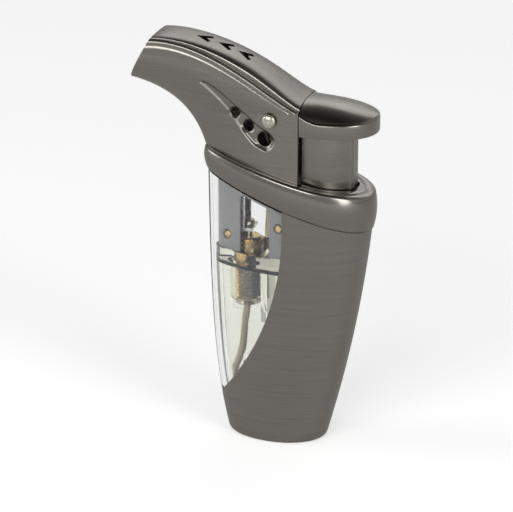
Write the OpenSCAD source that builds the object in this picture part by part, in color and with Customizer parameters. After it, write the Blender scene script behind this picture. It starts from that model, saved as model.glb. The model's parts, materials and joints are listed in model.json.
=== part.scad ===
// Pocket butane torch that stands on its base: metal case with a clear window over the fuel
// tank, tilted collar, bent head with a fixed top cover, and a sprung thumb button.
// Millimetres. +Z is up, the flame leaves towards -X, and the origin is the middle of the base.

/* [Case] */
// Front of the case at the base, ahead of the origin
front_base = 10.9; // [9:0.1:13]
// How far the front swells forward above the base
front_gain = 4.9; // [2:0.1:6]
// Height over which most of the front's swell happens
front_rise = 18; // [12:1:30]
// Rear of the case at the base, behind the origin
rear_base = 10.4; // [9:0.1:12]
// Rearward lean of the case, per unit of height
rear_slope = 0.285; // [0.2:0.005:0.3]
// Bow that turns the rear upright again, per unit of height squared
rear_bow = 0.0019; // [0.001:0.0001:0.0022]
// Half width of the case at the base
base_half_w = 7.2; // [6.8:0.1:9]
// Gain in half width, per unit of height
width_slope = 0.042; // [0.03:0.001:0.06]
// How much fuller the rear of the plan is than the front, at the base
egg_base = 0.08; // [0:0.01:0.15]
// How much fuller the rear of the plan is than the front, at the collar
egg_top = 0.34; // [0.25:0.01:0.4]
// Radius of the case's lower edge
foot_r = 1.1; // [0.8:0.1:1.4]
// Wall of the metal case
case_wall = 0.9; // [0.7:0.1:1]

/* [Collar] */
// Height of the seam between case and collar, on the origin's axis
seam_z = 54.4; // [48:0.1:60]
// Fall of that seam towards the rear, per unit of length
seam_slope = 0.308; // [0.2:0.002:0.32]
// Height of the collar's top plane above the seam, on the origin's axis
collar_h = 6.3; // [5:0.1:8]
// Fall of the collar's top plane towards the rear, per unit of length
rim_slope = 0.212; // [0.18:0.002:0.24]
// How far the collar stands proud of the case
collar_bulge = 0.9; // [0.5:0.1:1.2]
// Width of the collar's metal from the case line inwards
collar_in = 1.5; // [1.4:0.1:1.6]

/* [Window] */
// Rear edge of the window where it meets the collar
window_rear = 2.8; // [2:0.1:4]
// Height of the window's lower tip at the front of the case
window_tip_z = 8.7; // [7:0.1:12]
// Sharpness of the curve of the window's rear edge
window_power = 2.4; // [2:0.1:3]
// Thickness of the clear window
lens_t = 1.2; // [1:0.1:1.4]

/* [Head] */
// Rear face of the head, where the button slides past it
head_rear = 5.8; // [5:0.1:6.5]
// Height of the head's rear edge above the collar's top plane, on the origin's axis
head_h = 13.9; // [13:0.1:15]
// How far the head's foot stands in from the line of the case
head_inset = 1.05; // [0.9:0.05:1.3]
// How much narrower each side of the head is at its top cover than at its foot
head_taper = 0.2; // [0:0.05:0.4]
// Distance from the head's foot forward to the middle of the nozzle's mouth
nozzle_reach = 12.9; // [12:0.1:14]
// Height of the middle of the nozzle's mouth above the head's rear edge
nozzle_rise = 8.1; // [7.6:0.1:8.6]
// Room between the burner and the nozzle's lips, above and below
nozzle_margin = 2.1; // [1.9:0.05:2.4]
// Wall of the head casting
head_wall = 1; // [0.8:0.1:1.2]
// Thickness of the top cover
cover_t = 0.9; // [0.7:0.1:1]
// Groove between the head's wall and the top cover
groove = 0.2; // [0.15:0.05:0.3]
// Rise of the top cover's crown above the head's edge, at the thumb button
crown_end = 1.3; // [1.2:0.1:1.6]
// Rise of the top cover's crown above the head's edge, at the nozzle
crown_tip = 0.45; // [0.2:0.05:0.8]
// Extra rise of the crown between its ends
crown_mid = 0.8; // [0.4:0.1:1]
// Length of one arrowhead cut in the top cover
chevron_l = 3.5; // [2.6:0.1:3.6]
// Half width of one arrowhead
chevron_half = 2.2; // [1.6:0.1:2.6]

/* [Button] */
// Travel of the thumb button
press = 4; // [3:0.1:4.2]
// Gap between the post and the collar's deck round it
deck_gap = 0.45; // [0.35:0.05:0.8]
// How far the thumb cap stands out behind the post
cap_lip = 4.7; // [4:0.1:5.5]
// How much wider the thumb cap is than the head's foot, on each side
cap_over = 0.4; // [0.2:0.1:0.7]
// How far the thumb cap's lower edge is below the head's rear edge
cap_drop = 5; // [4.2:0.1:5.5]
// Height of the cap's upright rim
cap_rim = 3.1; // [2.6:0.1:3.4]
// Gap between the rear of the post and the collar
post_gap = 2.6; // [2.2:0.1:3.4]
// How much narrower each side of the post is than the head's foot
post_in = 1.3; // [1.2:0.1:1.9]
// Wall of the post
post_wall = 0.9; // [0.8:0.1:1.1]
// Height of the post's lower end above the seam, on the origin's axis
post_low = 0.6; // [0.2:0.1:1.6]

/* [Mechanism] */
// Distance of the valve's axis ahead of the origin
valve_ahead = 6.5; // [6:0.1:7]
// Depth of the tank lid's top below the seam, on the origin's axis
lid_drop = 12.1; // [11.5:0.1:13]
// Thickness of the tank lid
lid_t = 3; // [2.5:0.1:3.5]
// Outer radius of the valve body
valve_r = 2.7; // [2.4:0.1:2.8]
// Depth of the cross pin, which the lever turns on, below the head's rear edge
pin_drop = 2.1; // [1.8:0.1:2.3]
// Radius of the cross pin's shank
pin_r = 1; // [0.8:0.05:1.1]
// Radius of the cross pin's domed heads
pin_head_r = 1.4; // [1.3:0.05:1.6]
// Length of the lever from its pin to the button
press_arm = 12; // [11.5:0.1:12.5]
// Length of the lever from its pin to the valve link
lift_arm = 7; // [6.6:0.1:7.2]
// Position of the piezo igniter's axis behind the origin
piezo_x = 10.4; // [10.2:0.1:10.6]
// Side of the piezo igniter's square housing
piezo_side = 6; // [5.8:0.1:6.2]
// Radius of the piezo plunger
plunger_r = 2.1; // [1.9:0.05:2.2]

/* [Burner] */
// Upward tilt of the burner
burner_tilt = 10; // [6:1:14]
// Outer radius of the burner tube
burner_r = 3.4; // [3:0.1:3.8]
// Length of the burner tube
burner_l = 13; // [12:0.5:14]

/* [Base] */
// Thickness of the base plate
base_t = 1.4; // [1.2:0.1:1.8]
// Distance of the fill valve behind the origin
fill_x = 3.9; // [3.6:0.1:4.2]
// Outer radius of the fill valve
fill_r = 2.2; // [2:0.1:2.4]
// Radius of the fill port
port_r = 1.5; // [1.3:0.05:1.6]
// Depth of the fill port
port_depth = 2; // [1.6:0.1:2.4]
// Distance of the flame adjuster ahead of the origin
adjuster_ahead = 4.6; // [4.4:0.1:5]
// Radius of the flame adjuster's dial
dial_r = 2.4; // [2.2:0.1:2.6]

/* [Hidden] */

facets = 48;                     // points round each outline of the case
tiny = 0.01;
span = 60;                       // longer than any piece, for cuts that go right through
slip = 0.08;                     // running clearance of a shaft in its hole
seat = 0.15;                     // clearance between pieces that are laid together
valve_x = -valve_ahead;
adjuster_x = -adjuster_ahead;
pin_x = -0.3;                    // the cross pin's place along the torch
rim_z = seam_z + collar_h;
corner_z = rim_z + head_h;       // where the head's rear edge meets the cover
cap_z = corner_z - cap_drop;
pin_z = corner_z - pin_drop;
lid_z = seam_z - lid_drop;
lid_bottom = lid_z - lid_t;
post_z = seam_z + post_low;
insulator_r = 0.8;
insulator_gap = 0.1;
insulator_side = burner_r + insulator_r + insulator_gap;
nozzle_room = 0.55;              // between the insulator and the nozzle's wall
nozzle_w = insulator_side + insulator_r + nozzle_room + head_wall;

// ---------- small helpers ----------
function mix(a, b, t) = a + (b - a) * t;
function unit(v) = v / norm(v);
function bezier(p, t) = pow(1 - t, 3) * p[0] + 3 * pow(1 - t, 2) * t * p[1]
    + 3 * (1 - t) * t * t * p[2] + pow(t, 3) * p[3];
function flat(rings) = [for (ring = rings) each ring];
// Two triangles for each quad between ring a and ring b, each n points long.
function band(a, b, n, closed = true) = [
    for (i = [0 : n - (closed ? 1 : 2)]) let (j = (i + 1) % n)
        each [[a + i, b + i, b + j], [a + i, b + j, a + j]]
];

// A solid that skins a list of rings. A looped one joins its last ring to its first.
module skin(rings, looped = false) {
    n = len(rings[0]);
    m = len(rings);
    sides = [for (k = [0 : m - 2]) each band(k * n, (k + 1) * n, n)];
    ends = looped ? band((m - 1) * n, 0, n)
        : [[for (i = [0 : n - 1]) i], [for (i = [n - 1 : -1 : 0]) (m - 1) * n + i]];
    polyhedron(flat(rings), concat(sides, ends));
}

// A curved sheet with thickness: outer and inner are lists of open rings of the same length.
module sheet(outer, inner) {
    n = len(outer[0]);
    m = len(outer);
    far = m * n;
    out_faces = [for (k = [0 : m - 2]) each band(k * n, (k + 1) * n, n, false)];
    in_faces = [for (k = [0 : m - 2]) each band(far + (k + 1) * n, far + k * n, n, false)];
    first = band(far, 0, n, false);
    last = band((m - 1) * n, far + (m - 1) * n, n, false);
    edges = [for (k = [0 : m - 2]) let (a = k * n, b = a + n, c = far + a, d = far + b)
        each [[a, c, d], [a, d, b], [a + n - 1, b + n - 1, d + n - 1],
            [a + n - 1, d + n - 1, c + n - 1]]];
    polyhedron(concat(flat(outer), flat(inner)), concat(out_faces, in_faces, first, last, edges));
}

// A round tube along a route of points, as one skin with eight sides.
module hose(route, r) {
    n = len(route);
    skin([for (k = [0 : n - 1]) let (
            ahead = route[min(k + 1, n - 1)],
            behind = route[max(k - 1, 0)],
            along = unit(ahead - behind),
            side = unit(cross(along, [0.13, 1, 0.21])),
            up = cross(side, along))
        [for (i = [0 : 7]) route[k] + r * (side * cos(i * 45) - up * sin(i * 45))]]);
}

// A closed coil spring, drawn as the sleeve that it fills.
module coil(r, wire, z_low, z_high) {
    translate([0, 0, z_low])
        difference() {
            cylinder(r = r, h = z_high - z_low, $fn = 32);
            translate([0, 0, -1]) cylinder(r = r - wire, h = z_high - z_low + 2, $fn = 32);
        }
}

// ---------- outline of the case ----------
function front_x(z) = -(front_base + front_gain * (1 - exp(-z / front_rise)));
function rear_x(z) = rear_base + rear_slope * z - rear_bow * z * z;
function half_w(z) = base_half_w + width_slope * z;
function egg(z) = mix(egg_base, egg_top, min(1, z / seam_z));
function plan_x(z, t, inset) = (front_x(z) + rear_x(z)) / 2
    + ((rear_x(z) - front_x(z)) / 2 - inset) * cos(t);
function plan_y(z, t, inset) = (half_w(z) - inset) * sin(t) * (1 + egg(z) * cos(t));
function seam_at(x) = seam_z - seam_slope * x;
function rim_at(x) = rim_z - rim_slope * x;
// Height of the seam at angle t round the case, found by stepping to it.
function seam_angle_z(t, z, left = 6) =
    left == 0 ? z : seam_angle_z(t, seam_at(plan_x(z, t, 0)), left - 1);
// One level ring of the case, one ring that leans with the seam, and the rounded foot's inset.
function level_ring(z, inset) =
    [for (i = [0 : facets - 1]) let (t = 360 * i / facets) [plan_x(z, t, inset), plan_y(z, t, inset), z]];
function leaning_ring(share, low, inset, drop = 0) = [for (i = [0 : facets - 1]) let (
        t = 360 * i / facets,
        top = seam_angle_z(t, seam_z) - drop,
        z = mix(low, top, share),
        x = plan_x(z, t, inset))
    [x, plan_y(z, t, inset), share == 1 ? seam_at(x) - drop : z]];
function foot_inset(z) = foot_r - sqrt(foot_r * foot_r - pow(foot_r - z, 2));
function foot_rings(inset) = [for (a = [0 : 30 : 60]) let (z = foot_r * (1 - cos(a)))
    level_ring(z, inset + foot_inset(z))];
function side_rings(low, inset, steps = 9, drop = 0) =
    [for (k = [0 : steps]) leaning_ring(k / steps, low, inset, drop)];
function reversed(list) = [for (i = [len(list) - 1 : -1 : 0]) list[i]];

// The window's outline, seen from the side; grow moves its rear edge back.
function window_edge(z, grow) = let (
        high = seam_at(window_rear),
        depth = (high - z) / (high - window_tip_z))
    window_rear + grow - (window_rear - front_x(window_tip_z)) * pow(max(0, depth), window_power);
module window_area(grow) {
    far = front_x(seam_z) - 5;
    high = seam_z + 10;
    steps = 16;
    tip = window_tip_z - grow;
    rotate([90, 0, 0])
        linear_extrude(span, center = true)
            polygon(concat(
                [for (k = [0 : steps]) let (z = mix(high, tip, k / steps)) [window_edge(z, grow), z]],
                [[far, tip], [far, high]]));
}

// Sizes of the head and the button that follow the outline of the case.
head_foot_w = half_w(rim_z) - head_inset;
head_back_w = head_foot_w - head_taper;
head_front = front_x(rim_z) - 0.57;
post_rear = rear_x(seam_z) - collar_in - post_gap;
post_w = head_foot_w - post_in;
cap_rear = post_rear + cap_lip;
cap_w = head_foot_w + cap_over;
cap_front_w = head_foot_w - 0.3;

// ---------- case ----------
module case_shell() {
    outer = concat(foot_rings(0), side_rings(foot_r, 0));
    inner = concat(foot_rings(case_wall), side_rings(foot_r, case_wall));
    color([0.36, 0.34, 0.32])
        difference() {
            skin(concat(outer, reversed(inner)), looped = true);
            window_area(0);
        }
}

module window_lens() {
    color([0.9, 0.93, 0.9, 0.4])
        intersection() {
            skin(concat(side_rings(window_tip_z - 1, 0, 9, seat),
                reversed(side_rings(window_tip_z - 1, lens_t, 9, seat))), looped = true);
            window_area(-seat);
        }
}

module base_plate() {
    plug = case_wall + foot_r + seat;
    color([0.3, 0.29, 0.28])
        difference() {
            linear_extrude(base_t) polygon([for (p = level_ring(0, plug)) [p[0], p[1]]]);
            translate([fill_x, 0, -1]) cylinder(r = fill_r + slip, h = base_t + 2, $fn = 48);
            translate([adjuster_x, 0, -1]) cylinder(r = dial_r + slip, h = base_t + 2, $fn = 48);
        }
}

// ---------- fuel tank and what is in it ----------
tank_in = case_wall + 0.5;       // the tank's outside, in from the case line
tank_wall = 1.6;
tank_low = base_t + 0.1;
floor_z = 8.5;                   // top of the tank's thick floor, which holds both base valves
gasket_t = 0.5;
pocket_front = -1.2;             // the pocket beside the valve that the igniter stands in
pocket_rear = piezo_x + piezo_side / 2 + 0.4;
pocket_half = piezo_side / 2 + 0.9;
pocket_z = lid_z - 13.8;
pocket_wall = 1.2;

module box(low, high) {
    translate(low) cube(high - low);
}

module fuel_tank() {
    top = lid_bottom - gasket_t;
    steps = 7;
    heights = [for (k = [0 : steps]) mix(tank_low, top, k / steps)];
    inside = [for (k = [0 : steps]) mix(floor_z, top + 1, k / steps)];
    color([0.92, 0.93, 0.85, 0.4])
        difference() {
            skin([for (z = heights) level_ring(z, tank_in)]);
            difference() {
                skin([for (z = inside) level_ring(z, tank_in + tank_wall)]);
                box([pocket_front - pocket_wall, -pocket_half - pocket_wall, pocket_z - pocket_wall],
                    [span, pocket_half + pocket_wall, lid_z]);
            }
            cup_room();
            box([pocket_front, -pocket_half, pocket_z], [pocket_rear, pocket_half, lid_z]);
            translate([fill_x, 0, 0]) cylinder(r = fill_r + slip, h = floor_z + 1, $fn = 48);
            translate([adjuster_x, 0, 0]) cylinder(r = dial_r + slip, h = floor_z + 1, $fn = 48);
        }
}

module lid_gasket() {
    color([0.12, 0.12, 0.12])
        translate([0, 0, lid_bottom - gasket_t])
            linear_extrude(gasket_t)
                difference() {
                    polygon([for (p = level_ring(lid_bottom - gasket_t, tank_in)) [p[0], p[1]]]);
                    polygon([for (p = level_ring(lid_bottom, tank_in + tank_wall)) [p[0], p[1]]]);
                    translate([valve_x, 0]) circle(r = cup_r + seat, $fn = 48);
                }
}

valve_z = lid_z - 11.3;          // underside of the valve body
cup_r = valve_r + 0.9;           // clear cup that hangs from the lid round the valve
cup_z = valve_z - 1.4;
outlet_r = 0.8;
fitting_r = outlet_r + 0.3;
nut_over = 0.7;                  // how far the locknut's corners stand out from the valve
outlet_x = valve_x + valve_r + nut_over + fitting_r - 0.2;  // beside one of the nut's flats

// Room for the cup, taken out of the tank's wall where the two come close.
module cup_room() {
    translate([valve_x, 0, cup_z - seat]) cylinder(r = cup_r + seat, h = span, $fn = 48);
}

module tank_lid() {
    color([0.93, 0.94, 0.82, 0.4])
        difference() {
            union() {
                translate([0, 0, lid_bottom])
                    linear_extrude(lid_t)
                        polygon([for (p = level_ring(lid_bottom, tank_in)) [p[0], p[1]]]);
                translate([valve_x, 0, 0])
                    rotate_extrude($fn = 48)
                        polygon([[0, cup_z], [cup_r - 1.6, cup_z], [cup_r - 0.6, cup_z + 0.5],
                            [cup_r, cup_z + 1.6], [cup_r, lid_bottom + 1], [0, lid_bottom + 1]]);
            }
            translate([valve_x, 0, valve_z]) cylinder(r = valve_r + slip, h = span, $fn = 48);
            translate([valve_x, 0, 0]) cylinder(r = feed_r + slip, h = span, $fn = 32);
            box([piezo_x - piezo_side / 2 - seat, -piezo_side / 2 - seat, 0],
                [piezo_x + piezo_side / 2 + seat, piezo_side / 2 + seat, span]);
            translate([outlet_x, 0, lid_z - 1.5]) cylinder(r = outlet_r + slip, h = 3, $fn = 32);
        }
}

// ---------- valve ----------
thread_pitch = 0.8;
nut_t = 1.8;
chamber_r = valve_r - 0.7;       // the spring's chamber inside the valve body
chamber_low = valve_z + 3;
chamber_high = lid_z + 0.2;
valve_top = lid_z + nut_t + 0.6;
stem_r = 0.7;
stem_head_z = lid_z + 5;

module valve_body() {
    threads = floor((lid_bottom - valve_z - 0.6) / thread_pitch);
    color([0.78, 0.6, 0.3])
        translate([valve_x, 0, 0])
            rotate_extrude($fn = 48)
                difference() {
                    polygon(concat([[0, valve_z], [valve_r - 0.4, valve_z]],
                        [for (k = [0 : threads - 1]) let (z = valve_z + 0.3 + k * thread_pitch)
                            each [[valve_r - 0.3, z], [valve_r, z + thread_pitch / 2]]],
                        [[valve_r - 0.3, lid_bottom - 0.2], [valve_r, lid_bottom],
                            [valve_r, valve_top - 0.3], [valve_r - 0.3, valve_top], [0, valve_top]]));
                    translate([0, valve_z - 1]) square([feed_r + slip, 2.6]);
                    translate([0, valve_z]) square([0.4, span]);
                    translate([0, chamber_low]) square([chamber_r, chamber_high - chamber_low]);
                    translate([0, chamber_low]) square([stem_r + slip, span]);
                }
}

module valve_locknut() {
    color([0.72, 0.56, 0.3])
        translate([valve_x, 0, lid_z])
            difference() {
                rotate(30) cylinder(r = valve_r + nut_over, h = nut_t, $fn = 6);
                translate([0, 0, -1]) cylinder(r = valve_r + slip, h = nut_t + 2, $fn = 48);
            }
}

module valve_stem() {
    flange = 0.8;
    color([0.7, 0.7, 0.7])
        translate([valve_x, 0, 0])
            rotate_extrude($fn = 32)
                polygon([[0, chamber_low + seat], [chamber_r - slip, chamber_low + seat],
                    [chamber_r - slip, chamber_low + seat + flange], [stem_r, chamber_low + seat + flange],
                    [stem_r, stem_head_z], [1.3, stem_head_z], [1.3, stem_head_z + 0.7],
                    [1, stem_head_z + 1], [0, stem_head_z + 1]]);
}

module valve_spring() {
    color([0.6, 0.6, 0.6])
        translate([valve_x, 0, 0]) coil(chamber_r - 0.1, 0.35, chamber_low + seat + 0.8, chamber_high);
}

feed_r = 0.75;
spigot_z = 10.1;                 // height of the regulator's side outlet
spigot_r = 1.5;
// The tube leaves the valve downwards, bows to the front of the tank and enters the spigot.
module feed_tube() {
    front = front_x(spigot_z) + 4;
    high = mix(spigot_z, cup_z - 1, 0.75);
    middle = mix(spigot_z, cup_z - 1, 0.45);
    color([0.85, 0.78, 0.6])
        hose(smooth(concat(
            [[valve_x, 0, valve_z + 1.4], [valve_x, 0, cup_z + 0.6], [valve_x, 0, cup_z - 1]],
            [[valve_x - 0.7, 0, high], [front + 1.2, 0, middle], [front - 0.3, 0, spigot_z + 3.9]],
            [[front + 0.3, 0, spigot_z + 1.2], [front + 2, 0, spigot_z]],
            [[adjuster_x - 0.9, 0, spigot_z]]), 4), feed_r);
}

dial_t = 1.1;
module regulator_body() {
    low = dial_t + 0.4;
    color([0.75, 0.58, 0.3])
        translate([adjuster_x, 0, 0])
            difference() {
                union() {
                    translate([0, 0, low]) cylinder(r = dial_r, h = floor_z - low, $fn = 48);
                    translate([0, 0, floor_z - 1])
                        cylinder(r = spigot_r, h = spigot_z + spigot_r - floor_z + 1, $fn = 32);
                }
                translate([0, 0, spigot_z]) rotate([0, -90, 0])
                    translate([0, 0, 0.7]) cylinder(r = feed_r + slip, h = 3, $fn = 32);
                cylinder(r = 1 + slip, h = 6.5, $fn = 32);
            }
}

module adjuster_dial() {
    notches = 12;
    color([0.16, 0.16, 0.16])
        translate([adjuster_x, 0, 0])
            difference() {
                union() {
                    translate([0, 0, 0.2]) cylinder(r = dial_r, h = dial_t, $fn = 48);
                    cylinder(r = 1, h = 6, $fn = 32);
                }
                translate([-1.6, -0.3, -1]) cube([3.2, 0.6, 1.6]);
                for (k = [1 : notches - 1])
                    rotate(k * 360 / notches) translate([dial_r + 0.05, 0, 0])
                        cylinder(r = 0.25, h = 3, $fn = 16);
            }
}

fill_low = 0.1;                  // the valve sits this far inside the base
fill_top = 10;
web_low = fill_low + port_depth; // the web that the stem passes and the seal lies on
web_high = web_low + 0.8;
needle_r = 0.6;
fill_seal_t = 0.45;
flange_low = web_high + fill_seal_t + 0.05;
flange_t = 0.7;

module fill_valve_body() {
    color([0.78, 0.6, 0.3])
        translate([fill_x, 0, 0])
            rotate_extrude($fn = 48)
                polygon([[port_r, fill_low], [fill_r, fill_low], [fill_r, fill_top], [0.5, fill_top],
                    [0.5, fill_top - 1], [port_r, fill_top - 1], [port_r, web_high],
                    [needle_r + slip, web_high], [needle_r + slip, web_low], [port_r, web_low]]);
}

module fill_stem() {
    flange_r = port_r - slip;
    high = flange_low + flange_t;
    color([0.7, 0.7, 0.7])
        translate([fill_x, 0, 0])
            rotate_extrude($fn = 32)
                polygon([[0, web_low], [needle_r, web_low], [needle_r, flange_low],
                    [flange_r, flange_low], [flange_r, high], [needle_r, high],
                    [needle_r, high + 0.5], [0, high + 0.5]]);
}

module fill_seal() {
    color([0.1, 0.1, 0.1])
        translate([fill_x, 0, web_high])
            difference() {
                cylinder(r = port_r, h = fill_seal_t, $fn = 32);
                translate([0, 0, -1]) cylinder(r = needle_r + slip, h = 3, $fn = 32);
            }
}

module fill_spring() {
    color([0.6, 0.6, 0.6])
        translate([fill_x, 0, 0]) coil(port_r - 0.1, 0.35, flange_low + flange_t, fill_top - 1);
}

// ---------- frame above the lid ----------
chassis_in = lens_t + 0.9;       // the frame's outside, in from the case line
chassis_wall = 1.1;
chassis_rear = 3.6;
chassis_h = 17.7;
arch_x = -3.9;
arch_half = 3.4;
arch_top = seam_z + 0.6;
screw_r = 0.7;
screw_places = [[-10.2, lid_z + 3.3], [1.6, lid_z + 6.7]];

module chassis() {
    color([0.55, 0.56, 0.57])
        difference() {
            translate([0, 0, lid_z])
                linear_extrude(chassis_h)
                    difference() {
                        polygon([for (p = level_ring(lid_z, chassis_in)) [p[0], p[1]]]);
                        polygon([for (p = level_ring(lid_z, chassis_in + chassis_wall)) [p[0], p[1]]]);
                    }
            box([chassis_rear, -span, lid_z - 1], [span, span, rim_z + span]);
            rotate([90, 0, 0])
                linear_extrude(span, center = true) {
                    polygon([[-span, rim_at(-span) - 3], [span, rim_at(span) - 3],
                        [span, rim_z + span], [-span, rim_z + span]]);
                    polygon([[arch_x - arch_half, lid_z - 1], [arch_x + arch_half, lid_z - 1],
                        [arch_x + arch_half, arch_top - 2.6], [arch_x + arch_half - 1, arch_top - 1.6],
                        [arch_x - arch_half + 1, arch_top], [arch_x - arch_half, arch_top - 1]]);
                }
            for (place = screw_places)
                translate([place[0], 0, place[1]]) rotate([90, 0, 0])
                    cylinder(r = screw_r + slip, h = span, center = true, $fn = 32);
        }
}

module chassis_screws() {
    color([0.75, 0.58, 0.3])
        for (place = screw_places, side = [-1, 1]) {
            wall = chassis_y(place[0]);
            translate([place[0], side * (wall - chassis_wall - 0.2), place[1]])
                rotate([-90 * side, 0, 0]) {
                    cylinder(r = screw_r, h = chassis_wall + 0.2, $fn = 32);
                    translate([0, 0, -0.5]) cylinder(r = screw_r, h = 0.6, $fn = 32);
                }
        }
}
// The frame wall's outer half width at a place along the torch.
function chassis_y(x) = let (
        c = (front_x(lid_z) + rear_x(lid_z)) / 2,
        a = (rear_x(lid_z) - front_x(lid_z)) / 2 - chassis_in,
        t = (x - c) / a)
    (half_w(lid_z) - chassis_in) * sqrt(1 - t * t) * (1 + egg(lid_z) * t);

// ---------- igniter ----------
piezo_top = lid_z + 6.7;
plunger_low = lid_z - 2.3;
web_z = post_z + 2;              // the post's web that presses the plunger
web_t = 1.5;

module piezo_housing() {
    half = piezo_side / 2;
    color([0.13, 0.13, 0.14])
        difference() {
            union() {
                box([piezo_x - half, -half, pocket_z], [piezo_x + half, half, piezo_top - 2]);
                translate([piezo_x, 0, piezo_top - 2]) cylinder(r = half, h = 2, $fn = 48);
            }
            translate([piezo_x, 0, plunger_low - press - 1])
                cylinder(r = plunger_r + slip, h = span, $fn = 48);
        }
}

module piezo_plunger() {
    color([0.85, 0.84, 0.8])
        translate([piezo_x, 0, plunger_low]) cylinder(r = plunger_r, h = web_z - plunger_low, $fn = 48);
}

module button_spring() {
    color([0.6, 0.6, 0.6])
        translate([piezo_x, 0, 0]) coil(plunger_r + 0.8, 0.6, piezo_top, web_z);
}

module piezo_terminal() {
    color([0.75, 0.58, 0.3])
        translate([piezo_x - piezo_side / 2, 0, lid_z + 0.7]) box([-0.8, -0.8, 0], [0, 0.8, 2.3]);
}

// ---------- burner ----------
lip_tilt = 60.64;                // slope of the line between the nozzle's lips
nozzle_mid = [head_front - nozzle_reach, corner_z + nozzle_rise];
nozzle_half = (burner_r + nozzle_margin) * [cos(lip_tilt), sin(lip_tilt)];
nozzle_low = nozzle_mid - nozzle_half;
nozzle_high = nozzle_mid + nozzle_half;
burner_ahead = -nozzle_mid[0] - 2.7;
burner_z = nozzle_mid[1] + 0.3;

module at_burner() {
    translate([-burner_ahead, 0, burner_z]) rotate([0, burner_tilt - 90, 0]) children();
}
function burner_point(up, side, along) = [
    -burner_ahead - along * cos(burner_tilt) + up * sin(burner_tilt),
    side,
    burner_z + along * sin(burner_tilt) + up * cos(burner_tilt)];
tube_wall = 0.6;
block_back = 3;
jet_r = 1.1;
rod_r = 0.25;                    // the electrode

module burner_tube() {
    color([0.62, 0.6, 0.57])
        at_burner()
            difference() {
                translate([0, 0, -burner_l]) cylinder(r = burner_r, h = burner_l, $fn = 64);
                translate([0, 0, -burner_l - 1])
                    cylinder(r = burner_r - tube_wall, h = burner_l + 2, $fn = 64);
                for (a = [45, 135]) rotate(a) translate([0, 0, 3.2 - burner_l]) rotate([90, 0, 0])
                    cylinder(r = 0.9, h = 20, center = true, $fn = 32);
            }
}

module burner_block() {
    color([0.78, 0.6, 0.3])
        at_burner()
            difference() {
                union() {
                    translate([0, 0, -burner_l - block_back])
                        cylinder(r = burner_r, h = block_back, $fn = 48);
                    translate([0, 0, -burner_l])
                        cylinder(r = burner_r - tube_wall - 0.05, h = 1.6, $fn = 48);
                }
                translate([0, 0, -burner_l]) cylinder(r = jet_r + 0.02, h = 3, $fn = 32);
                translate([0, 0, -burner_l - block_back - 1])
                    cylinder(r = outlet_r + slip, h = 2.2, $fn = 32);
                translate([0, 0, -burner_l - block_back]) cylinder(r = 0.4, h = 5, $fn = 32);
            }
}

module jet_orifice() {
    color([0.85, 0.7, 0.4])
        at_burner()
            translate([0, 0, -burner_l])
                difference() {
                    cylinder(r = jet_r, h = 2.6, $fn = 32);
                    translate([0, 0, -1]) cylinder(r = 0.3, h = 5, $fn = 24);
                }
}

module flame_ring() {
    recess = 1.2;
    color([0.55, 0.5, 0.42])
        at_burner()
            translate([0, 0, -recess - 1])
                difference() {
                    cylinder(r = burner_r - tube_wall - 0.02, h = 1, $fn = 48);
                    translate([0, 0, -1]) cylinder(r = 0.7, h = 3, $fn = 24);
                    for (k = [0 : 7]) rotate(k * 45) translate([1.75, 0, -1])
                        cylinder(r = 0.4, h = 3, $fn = 24);
                }
}

module burner_holder() {
    half = nozzle_w - head_wall - 0.4;
    color([0.3, 0.3, 0.3])
        at_burner()
            translate([0, 0, -4.6])
                difference() {
                    linear_extrude(1.4)
                        polygon([for (a = [0 : 10 : 350]) [(burner_r + 0.7) * cos(a), half * sin(a)]]);
                    translate([0, 0, -1]) cylinder(r = burner_r + 0.03, h = 4, $fn = 64);
                    translate([0, -insulator_side, -1]) cylinder(r = insulator_r + slip, h = 4, $fn = 24);
                }
}

module electrode_insulator() {
    color([0.92, 0.9, 0.85])
        at_burner()
            translate([0, -insulator_side, -9])
                difference() {
                    cylinder(r = insulator_r, h = 8.4, $fn = 24);
                    translate([0, 0, -1]) cylinder(r = rod_r + slip, h = 12, $fn = 24);
                }
}

module electrode() {
    color([0.7, 0.7, 0.7])
        at_burner() {
            translate([0, -insulator_side, -9]) cylinder(r = rod_r, h = 9.6, $fn = 24);
            translate([0, -insulator_side, 0.6]) sphere(r = rod_r, $fn = 24);
            translate([0, -insulator_side, 0.6]) rotate([-90, 0, 0])
                cylinder(r = rod_r, h = 2.2, $fn = 24);
        }
}

// ---------- gas tube and wire ----------
function smooth(points, steps) = let (last = len(points) - 2)
    [for (i = [0 : last], k = [0 : steps - (i == last ? 0 : 1)])
        let (a = points[max(i - 1, 0)], b = points[i], c = points[i + 1],
            d = points[min(i + 2, last + 1)], t = k / steps)
        0.5 * (2 * b + (c - a) * t + (2 * a - 5 * b + 4 * c - d) * t * t
            + (3 * b - a - 3 * c + d) * t * t * t)];

module gas_tube() {
    inlet = burner_point(0, 0, -burner_l - block_back + 0.8);
    back = burner_point(0, 0, -burner_l - block_back - 2);
    color([0.85, 0.8, 0.66])
        hose(smooth([[outlet_x, 0, lid_z + 2.4], [outlet_x, 0, lid_z + 5], [-2.4, 2.2, lid_z + 9.7],
            [-2.6, 3.8, rim_z - 0.7], [-2.6, 4.2, pin_z - 4.5], [-3.8, 3.4, pin_z + 2.5],
            back + [0.6, 0.4, -0.4], inlet], 4), outlet_r);
}

module tube_fitting() {
    color([0.25, 0.23, 0.2])
        translate([outlet_x, 0, lid_z - 1.4])
            difference() {
                union() {
                    cylinder(r = outlet_r, h = 1.6, $fn = 32);
                    translate([0, 0, 1.4]) cylinder(r = fitting_r, h = 2.2, $fn = 32);
                }
                translate([0, 0, 2.3]) cylinder(r = outlet_r + 0.03, h = 3, $fn = 32);
                translate([0, 0, -1]) cylinder(r = 0.35, h = 9, $fn = 24);
            }
}

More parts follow.
